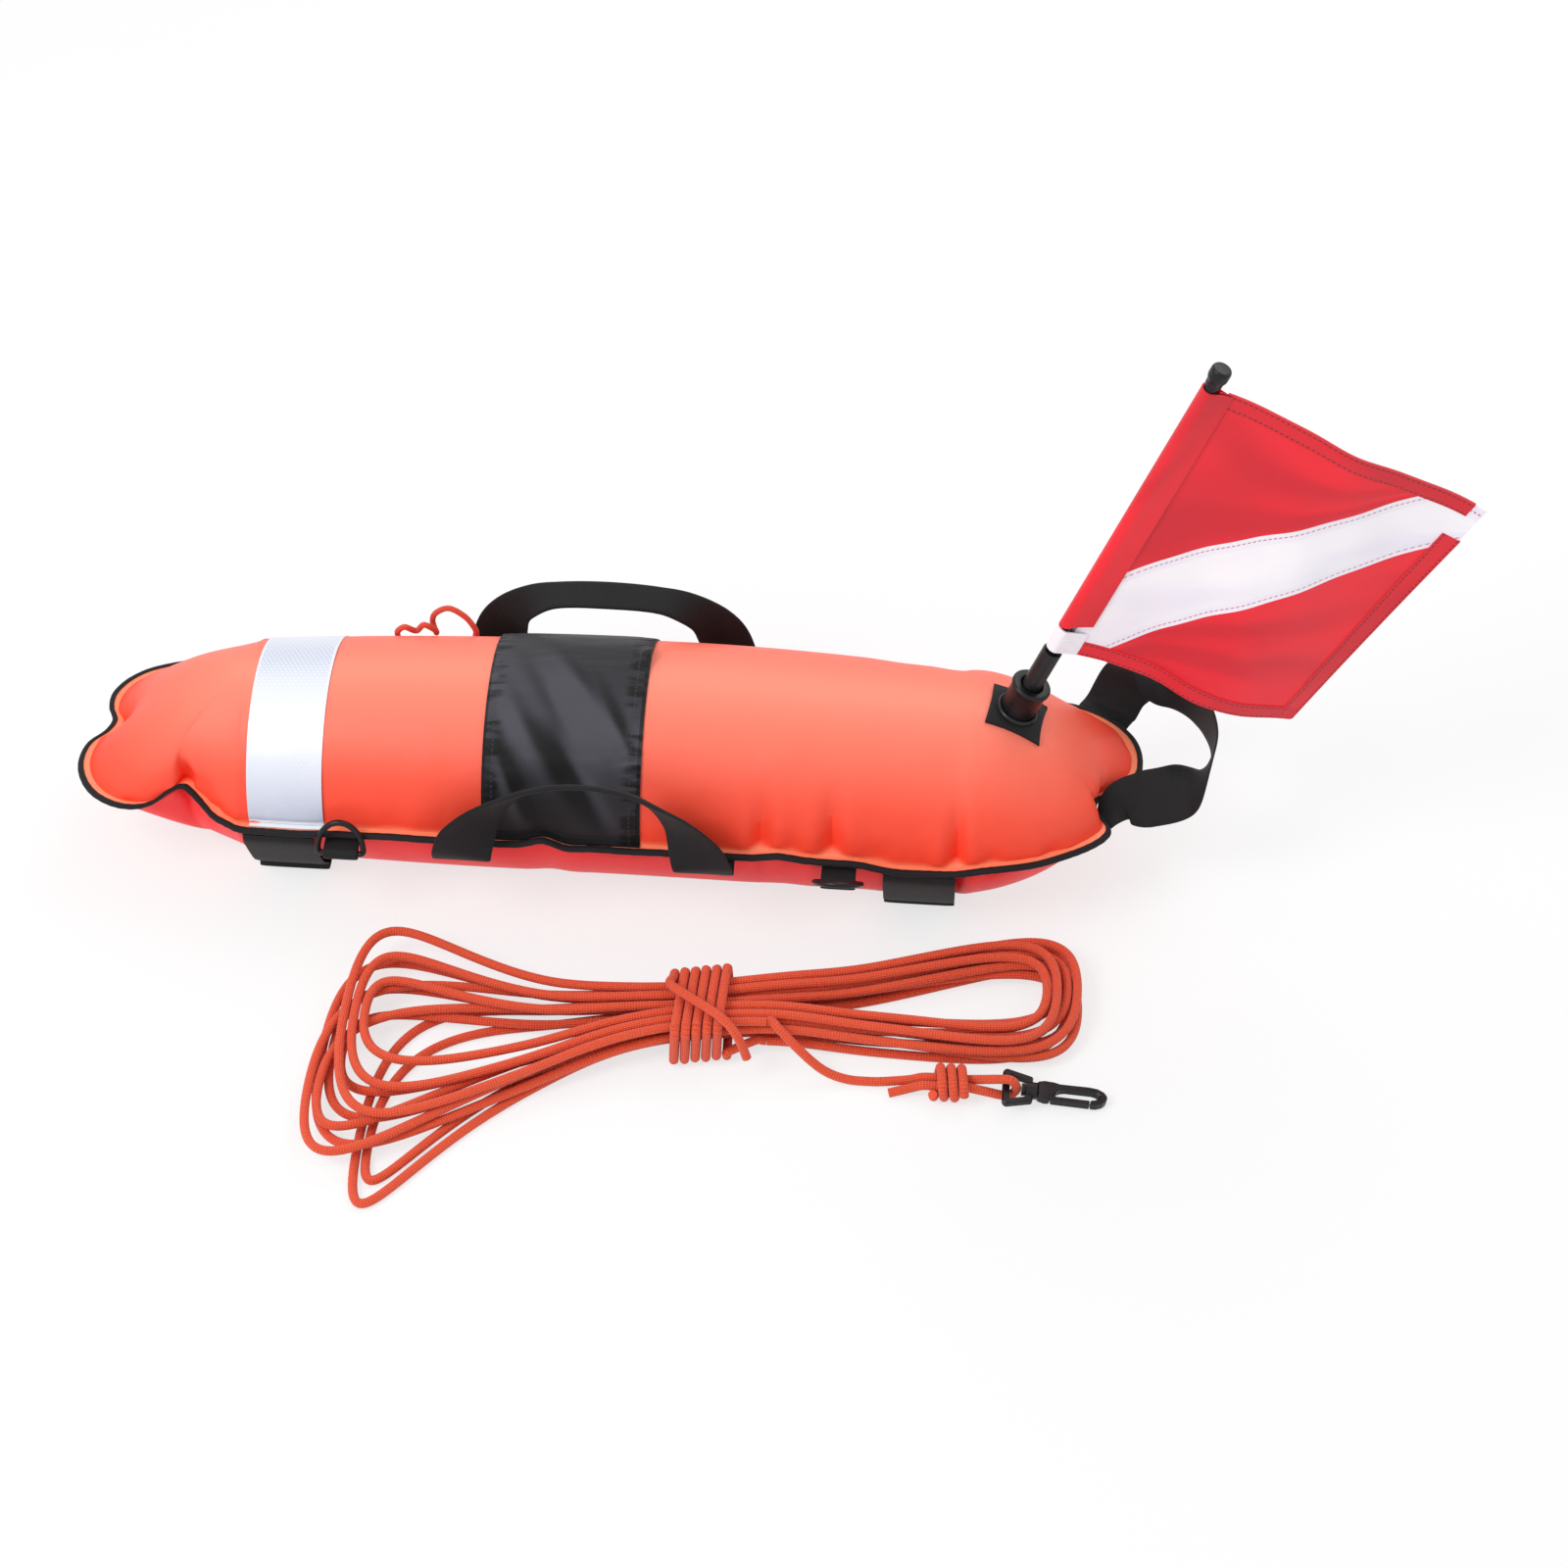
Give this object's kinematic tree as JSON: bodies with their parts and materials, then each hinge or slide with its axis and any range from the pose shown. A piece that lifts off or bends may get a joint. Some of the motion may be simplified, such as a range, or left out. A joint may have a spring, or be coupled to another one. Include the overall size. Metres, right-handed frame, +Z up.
{
  "type": "inflatable dive buoy",
  "caption": "Torpedo-shaped inflatable float with carrying handles, tow rings, a flag on a removable leaning pole, and a hanked tow rope with a swivel snap hook.",
  "frame": {"origin": "centre of the float's belly where it rests on the floor", "axes": "+X along the float from the plain end to the nose with the flag, +Y to the far side, +Z up"},
  "size_m": [0.8927, 0.4482, 0.4385],
  "materials": {
    "coated_fabric": "satin coated",
    "black_webbing": "woven",
    "panel_cloth": "satin woven",
    "reflective_tape": "retroreflective",
    "black_plastic": "moulded",
    "pole_rod": "pultruded",
    "flag_red": "woven",
    "flag_white": "woven",
    "orange_cord": "braided"
  },
  "bodies": {
    "float": {"float_upper_sheet": "coated_fabric", "float_lower_sheet": "coated_fabric", "valve_patch": "coated_fabric", "seam_binding": "black_webbing", "reflective_band": "reflective_tape", "grip_panel": "panel_cloth", "near_handle_foot_aft": "black_webbing", "near_handle_foot_fore": "black_webbing", "far_handle_foot_aft": "black_webbing", "far_handle_foot_fore": "black_webbing", "nose_handle_foot_near": "black_webbing", "nose_handle_foot_far": "black_webbing", "nose_handle_loop": "black_webbing", "ring_tab_near_aft": "black_webbing", "ring_tab_near_fore": "black_webbing", "ring_tab_far_aft": "black_webbing", "ring_tab_far_fore": "black_webbing", "belly_strap_aft": "black_webbing", "belly_strap_fore": "black_webbing", "socket_patch": "black_plastic", "socket_flange": "black_plastic", "socket_cup": "black_plastic", "valve_neck": "black_plastic", "far_lanyard": "orange_cord", "lanyard_knot_aft": "orange_cord", "lanyard_knot_fore": "orange_cord", "rope_hank": "orange_cord", "rope_waist_turns": "orange_cord", "rope_lead": "orange_cord", "rope_knot": "orange_cord", "hook_eye": "black_plastic"},
    "near_handle": {"near_handle_loop": "black_webbing"},
    "far_handle": {"far_handle_loop": "black_webbing"},
    "ring_near_aft": {"d_ring_near_aft": "black_plastic"},
    "ring_near_fore": {"d_ring_near_fore": "black_plastic"},
    "ring_far_aft": {"d_ring_far_aft": "black_plastic"},
    "ring_far_fore": {"d_ring_far_fore": "black_plastic"},
    "pole": {"pole_ferrule": "black_plastic", "flag_pole": "pole_rod", "pole_cap": "black_plastic"},
    "flag": {"flag_sleeve": "flag_red", "flag_sleeve_end": "flag_white", "flag_upper_cloth": "flag_red", "flag_stripe": "flag_white", "flag_lower_cloth": "flag_red"},
    "valve_cap": {"valve_cap": "black_plastic"},
    "hook": {"hook_body": "black_plastic"},
    "gate": {"hook_gate": "black_plastic"}
  },
  "joints": [
    {"name": "near_handle_swing", "type": "hinge", "parent": "float", "child": "near_handle", "pos_m": [-0.0075, -0.08832, 0.06997], "axis": [1, 0, 0], "range_deg": [0, 110]},
    {"name": "far_handle_swing", "type": "hinge", "parent": "float", "child": "far_handle", "pos_m": [-0.0075, 0.08832, 0.06997], "axis": [1, 0, 0], "range_deg": [-110, 0]},
    {"name": "ring_near_aft_swing", "type": "hinge", "parent": "float", "child": "ring_near_aft", "pos_m": [-0.167, -0.08792, 0.06359], "axis": [1, 0, 0], "range_deg": [0, 175]},
    {"name": "ring_near_fore_swing", "type": "hinge", "parent": "float", "child": "ring_near_fore", "pos_m": [0.158, -0.09065, 0.06536], "axis": [1, 0, 0], "range_deg": [-57, 128]},
    {"name": "ring_far_aft_swing", "type": "hinge", "parent": "float", "child": "ring_far_aft", "pos_m": [-0.167, 0.08792, 0.06359], "axis": [1, 0, 0], "range_deg": [0, 115]},
    {"name": "ring_far_fore_swing", "type": "hinge", "parent": "float", "child": "ring_far_fore", "pos_m": [0.158, 0.09065, 0.06536], "axis": [1, 0, 0], "range_deg": [0, 115]},
    {"name": "pole_lift", "type": "slide", "parent": "float", "child": "pole", "axis": [0.3404, 0, 0.9403], "range_m": [0, 0.024]},
    {"name": "flag_swivel", "type": "hinge", "parent": "pole", "child": "flag", "pos_m": [0.267, 0, 0.14181], "axis": [0.3404, 0, 0.9403], "continuous": true},
    {"name": "valve_cap_pull", "type": "slide", "parent": "float", "child": "valve_cap", "axis": [0, 0.9135, -0.4067], "range_m": [0, 0.012]},
    {"name": "hook_swivel", "type": "hinge", "parent": "float", "child": "hook", "pos_m": [0.273, -0.2062, 0.01005], "axis": [0.9954, 0, -0.0954], "continuous": true},
    {"name": "gate_press", "type": "hinge", "parent": "hook", "child": "gate", "pos_m": [0.30279, -0.21214, 0.0072], "axis": [0.0954, 0, 0.9954], "range_deg": [0, 14], "stiffness_Nm_per_rad": 0.02}
  ]
}
